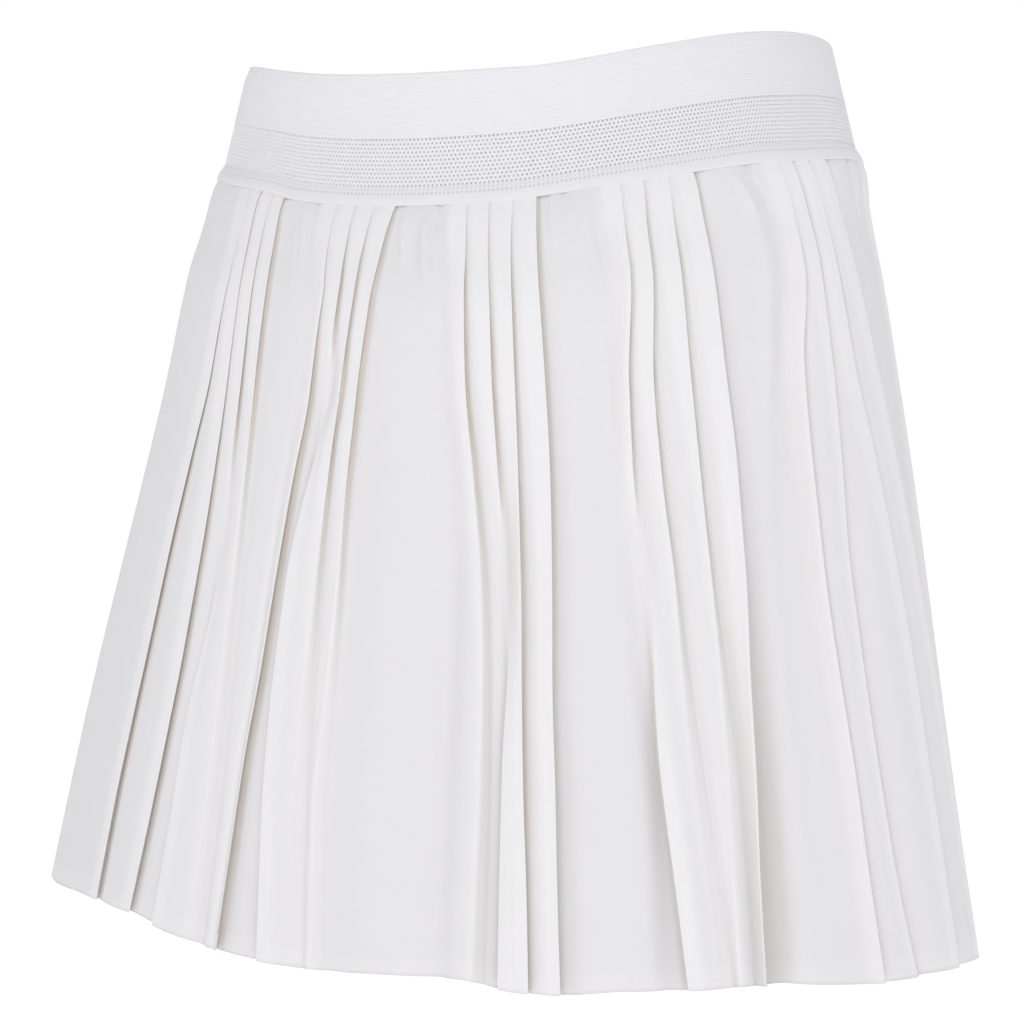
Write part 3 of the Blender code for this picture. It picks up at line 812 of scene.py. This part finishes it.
def lip_stitches(angle, drops):
    """Depth of the lip's stitches, 0 to 1: two rows of dots, then an upright ladder."""
    dots = ease(np.cos(angle * HOLE_COLUMNS) * 2.0)
    rows = np.exp(-((drops - 44.8) / 0.28) ** 2) * 0.6 + np.exp(-((drops - 46.35) / 0.42) ** 2)
    ladder = (drops > 46.9) * (drops < 50.5) * (0.5 + 0.5 * np.cos(angle * HOLE_COLUMNS * 2))
    return dots * rows + 0.14 * ladder


def inner_edge_profile():
    """The fold of the band's lower edge, seen from inside."""
    return [(43.5, -0.2), (43.6, -1.2), (45.0, -3.6), (47.0, -4.4),
            (50.9, -4.5), (51.1, -4.0), (50.6, -3.7), (48.0, -3.6)]


def make_mesh_zone():
    """Staggered oval pits, each a ring of quads with a short wall and a closed back that carries painted
    shade.
    """
    count, rows = HOLE_COLUMNS, HOLE_ROWS
    step = 2 * math.pi / count
    points, quads, flat = [], [], []
    lattice_k, lattice_r = np.meshgrid(np.arange(2 * count), np.arange(rows + 1))
    drop = MESH_TOP + lattice_r * HOLE_PITCH
    points.append(band_point(lattice_k * step / 2, drop, lattice_k * 0.0).reshape(-1, 3))
    flat.append(np.stack((lattice_k * step * 0.06, -drop * MM), axis=-1).reshape(-1, 2))
    column, row = [m.ravel() for m in np.meshgrid(np.arange(count), np.arange(rows))]
    stagger = row % 2
    centre = (column + 0.5 + stagger / 2) * step
    middle = MESH_TOP + (row + 0.5) * HOLE_PITCH
    corners = ((-1, -1), (0, -1), (1, -1), (1, 1), (0, 1), (-1, 1))
    shape = ((-1, -0.55), (0, -1), (1, -0.55), (1, 0.55), (0, 1), (-1, 0.55))
    rim, back = [], []
    base = 2 * count * (rows + 1)
    cells = count * rows
    for sx, sy in shape:
        angle = centre + sx * HOLE_WIDE * step
        drop = middle + sy * HOLE_TALL * HOLE_PITCH
        flat.append(np.stack((angle * 0.12, -drop * MM), axis=-1))
        rim.append(band_point(angle, drop, angle * 0 - RIM_SINK))
        back.append(band_point(angle, drop, angle * 0 - WALL))
    points += rim + back
    flat += flat[1:]
    for side in range(6):
        following = (side + 1) % 6
        edge = []
        for which in (side, following):
            kx, ky = corners[which]
            k = (2 * column + 1 + stagger + kx) % (2 * count)
            r = row + (ky + 1) // 2
            edge.append(r * 2 * count + k)
        here = base + side * cells + np.arange(cells)
        there = base + following * cells + np.arange(cells)
        quads.append(np.stack((edge[0], here, there, edge[1]), axis=-1))
        quads.append(np.stack((here, here + 6 * cells, there + 6 * cells, there), axis=-1))
    floor = [base + (6 + side) * cells + np.arange(cells) for side in range(6)]
    quads += [np.stack([floor[side] for side in half], axis=-1) for half in ((5, 2, 1, 0), (5, 4, 3, 2))]
    points = np.concatenate(points)
    # the closed backs carry painted shade
    deep = np.where(np.arange(len(points)) >= base + 6 * cells, HOLE_SHADE, 0.0)
    piece = quad_mesh("band_mesh_zone", points, np.concatenate(quads), np.concatenate(flat), {"shade": deep})
    piece.data.materials.append(ELASTIC)
    return piece


band_ribs = band_strip("band_ribbed_zone", ribbed_profile(), 420, painted_shade=rib_groove_painted_shade)
band_holes = make_mesh_zone()
# the lip's stitches are pressed into the surface, and their pits carry painted shade
band_lip = band_strip("band_lip", lip_profile(), HOLE_COLUMNS * 6, lambda a, d: -0.3 * lip_stitches(a, d),
                      lambda a, d: 0.6 * lip_stitches(a, d))
inner_face = band_strip("band_inner_edge", inner_edge_profile(), 300)

# ----------------------------------------------------------------- inner shorts
# Height, hip half width, hip half depth, centre y, leg share, leg centre x, leg
# half width, leg half depth (mm)
SHORTS_ROWS = (
    (-50.5, 133.8, 99.3, 0.0, 0.0, 77.5, 76.5, 88.0),
    (-70.0, 139.0, 103.0, -2.5, 0.0, 77.5, 76.5, 88.0),
    (-100.0, 145.0, 106.5, -5.0, 0.0, 77.5, 76.5, 88.0),
    (-135.0, 149.5, 108.5, -6.0, 0.02, 77.5, 76.5, 88.0),
    (-168.0, 152.0, 109.0, -6.0, 0.12, 77.5, 76.5, 88.0),
    (-196.0, 153.0, 109.0, -6.0, 0.35, 77.5, 76.5, 88.0),
    (-218.0, 153.5, 108.0, -6.0, 0.66, 77.5, 76.5, 88.0),
    (-235.0, 154.0, 105.0, -6.0, 1.0, 77.8, 76.5, 87.0),
    (-262.0, 154.0, 105.0, -6.0, 1.0, 79.0, 73.0, 84.0),
    (-290.0, 154.0, 105.0, -6.0, 1.0, 80.0, 70.0, 80.0),
)


def make_shorts(name, side):
    rows, columns = 80, 110
    heights = np.linspace(SHORTS_ROWS[0][0], SHORTS_ROWS[-1][0], rows)
    stops = [-row[0] for row in SHORTS_ROWS]
    across = np.linspace(0, 1, columns)[None, :]
    data = [smooth(-heights, stops, [row[c] for row in SHORTS_ROWS])[:, None] for c in range(1, 8)]
    width, depth, centre, leg, leg_x, leg_width, leg_depth = data
    hip, thigh = math.pi * across, 2 * math.pi * across
    x = width * np.sin(hip) * (1 - leg) + (leg_x - leg_width * np.cos(thigh)) * leg
    y = -depth * np.cos(hip) * (1 - leg) - leg_depth * np.sin(thigh) * leg + centre
    fade = np.clip(1 + (heights + BAND_HEIGHT / MM) / 60, 0, 1)[:, None]
    z = heights[:, None] * MM + wave(WAIST_WAVE, side * hip) * fade
    x = np.maximum(x, 0.15)
    points = np.stack((side * x * MM, y * MM, z + x * 0), axis=-1)
    hem = []
    for along in np.linspace(0.1, 1, 6):
        row = interpolate_grid(points, 1 - along * 12 / 240)
        inward = offset_line(row, side * -0.7 * MM * min(1, along * 3))
        hem.append(inward[None])
    points = np.concatenate([points] + hem)
    steps = np.linalg.norm(np.diff(points, axis=1), axis=2)
    run = np.concatenate((np.zeros((len(points), 1)), np.cumsum(steps, axis=1)), axis=1)
    drops = np.linalg.norm(np.diff(points, axis=0), axis=2).mean(axis=1)
    down = np.concatenate(((0,), np.cumsum(drops)))[:, None] + run * 0
    piece = grid_mesh(name, points, np.stack((run, -down), axis=-1))
    piece.data.materials.append(KNIT)
    return piece


def interpolate_grid(points, share):
    at = share * (len(points) - 1)
    low = int(at)
    part = at - low
    return points[low] * (1 - part) + points[min(low + 1, len(points) - 1)] * part


shorts = {side: make_shorts(f"shorts_{side}_cloth", sign) for side, sign in (("left", 1), ("right", -1))}

# ------------------------------------------------------------ riding, and hiding the parts they replace
for place, piece in skirts.items():
    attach(piece, "root")
    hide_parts(place)
for side, piece in shorts.items():
    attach(piece, "root")
    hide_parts(f"shorts_{side}")
for piece in (band_ribs, band_holes, band_lip, inner_face):
    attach(piece, "root")
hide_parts("waistband")

# -------------------------------------------------------------- floor and studio
FLOOR_DROP = 0.47


def plain_material(name, colour, roughness, glow):
    material = bpy.data.materials.new(name)
    material.use_nodes = True
    shader = material.node_tree.nodes["Principled BSDF"]
    shader.inputs["Base Color"].default_value = (*colour, 1)
    shader.inputs["Roughness"].default_value = roughness
    shader.inputs["Emission Color"].default_value = (*colour, 1)
    shader.inputs["Emission Strength"].default_value = glow
    return material


def make_floor():
    mesh = bpy.data.meshes.new("studio_floor")
    count, radius = 96, 30.0
    turns = [2 * math.pi * i / count for i in range(count)]
    ring = [(radius * math.cos(turn), radius * math.sin(turn), -FLOOR_DROP) for turn in turns]
    mesh.from_pydata(ring, [], [list(range(count))])
    floor = bpy.data.objects.new("studio_floor", mesh)
    mesh.materials.append(plain_material("pale_floor", (0.95, 0.94, 0.925), 0.9, 0.42))
    bpy.context.collection.objects.link(floor)


def make_light(name, place, aim, size, power, colour):
    light = bpy.data.lights.new(name, "AREA")
    light.shape = "DISK"
    light.size = size
    light.energy = power
    light.color = colour
    lamp = bpy.data.objects.new(name, light)
    lamp.location = place
    lamp.rotation_mode = "QUATERNION"
    lamp.rotation_quaternion = (Vector(aim) - Vector(place)).to_track_quat("-Z", "Y")
    bpy.context.collection.objects.link(lamp)


def make_world():
    """A pure white backdrop, and a softbox sky that is brighter overhead."""
    world = bpy.data.worlds.new("studio")
    world.use_nodes = True
    tree = world.node_tree
    link = tree.links.new
    place = node(tree, "ShaderNodeTexCoord")
    slope = node(tree, "ShaderNodeVectorMath", operation="DOT_PRODUCT")
    slope.inputs[1].default_value = SKY_SLOPE
    link(place.outputs["Generated"], slope.inputs[0])
    level = node(tree, "ShaderNodeMath", operation="ADD")
    level.inputs[1].default_value = SKY_LEVEL
    link(slope.outputs["Value"], level.inputs[0])
    sky = tree.nodes["Background"]
    sky.inputs["Color"].default_value = SKY_COLOUR + (1,)
    link(level.outputs[0], sky.inputs["Strength"])
    backdrop = node(tree, "ShaderNodeBackground", Strength=1.0)
    backdrop.inputs["Color"].default_value = (1, 1, 1, 1)
    ray = node(tree, "ShaderNodeLightPath")
    mix = node(tree, "ShaderNodeMixShader")
    link(ray.outputs["Is Camera Ray"], mix.inputs[0])
    link(sky.outputs[0], mix.inputs[1])
    link(backdrop.outputs[0], mix.inputs[2])
    link(mix.outputs[0], tree.nodes["World Output"].inputs["Surface"])
    bpy.context.scene.world = world


SKY_LEVEL = 0.235
SKY_SLOPE = (0.08, 0.0, 0.80)  # how the sky brightens towards +X and overhead
SKY_COLOUR = (0.925, 0.935, 1.01)

make_floor()
make_world()
make_light("key", (0.55, -2.3, 0.85), (0.0, 0.0, -0.18), 1.2, 10.5, (0.96, 0.965, 1.0))

# ----------------------------------------------------------------------- camera
# Results of the program that fitted the camera and the rings to the photograph
CAMERA_AZIMUTH = 25.5
CAMERA_ELEVATION = 2.0
CAMERA_ROLL = 0.57
CAMERA_DISTANCE = 1.9
CAMERA_TARGET = (0.0, -0.0055, -0.17)
FOCAL_PIXELS = 2415.4 * CAMERA_DISTANCE
FRAME_PIXELS = 1024
TARGET_PIXEL = (527.7, 484.6)   # where the target shows in the frame


def make_camera():
    azimuth, elevation, roll = (math.radians(v) for v in (CAMERA_AZIMUTH, CAMERA_ELEVATION, CAMERA_ROLL))
    level = math.cos(elevation)
    back = Vector((math.sin(azimuth) * level, -math.cos(azimuth) * level, math.sin(elevation)))
    right = (-back).cross(Vector((0, 0, 1))).normalized()
    up = right.cross(-back)
    right, up = right * math.cos(roll) + up * math.sin(roll), up * math.cos(roll) - right * math.sin(roll)
    place = Vector(CAMERA_TARGET) + back * CAMERA_DISTANCE
    # the centre of the frame looks this far to the side of the target and below it
    side = (FRAME_PIXELS / 2 - TARGET_PIXEL[0]) / FOCAL_PIXELS
    below = (FRAME_PIXELS / 2 - TARGET_PIXEL[1]) / FOCAL_PIXELS
    look = (-back + right * side - up * below).normalized()
    right = (right - look * right.dot(look)).normalized()
    up = right.cross(look)
    data = bpy.data.cameras.new("camera")
    data.sensor_width = 36.0
    data.lens = FOCAL_PIXELS / FRAME_PIXELS * data.sensor_width
    camera = bpy.data.objects.new("camera", data)
    axes = Matrix((right, up, -look)).transposed().to_4x4()
    camera.matrix_world = Matrix.Translation(place) @ axes
    bpy.context.collection.objects.link(camera)
    bpy.context.scene.camera = camera


make_camera()
bpy.context.scene.view_settings.view_transform = "Standard"
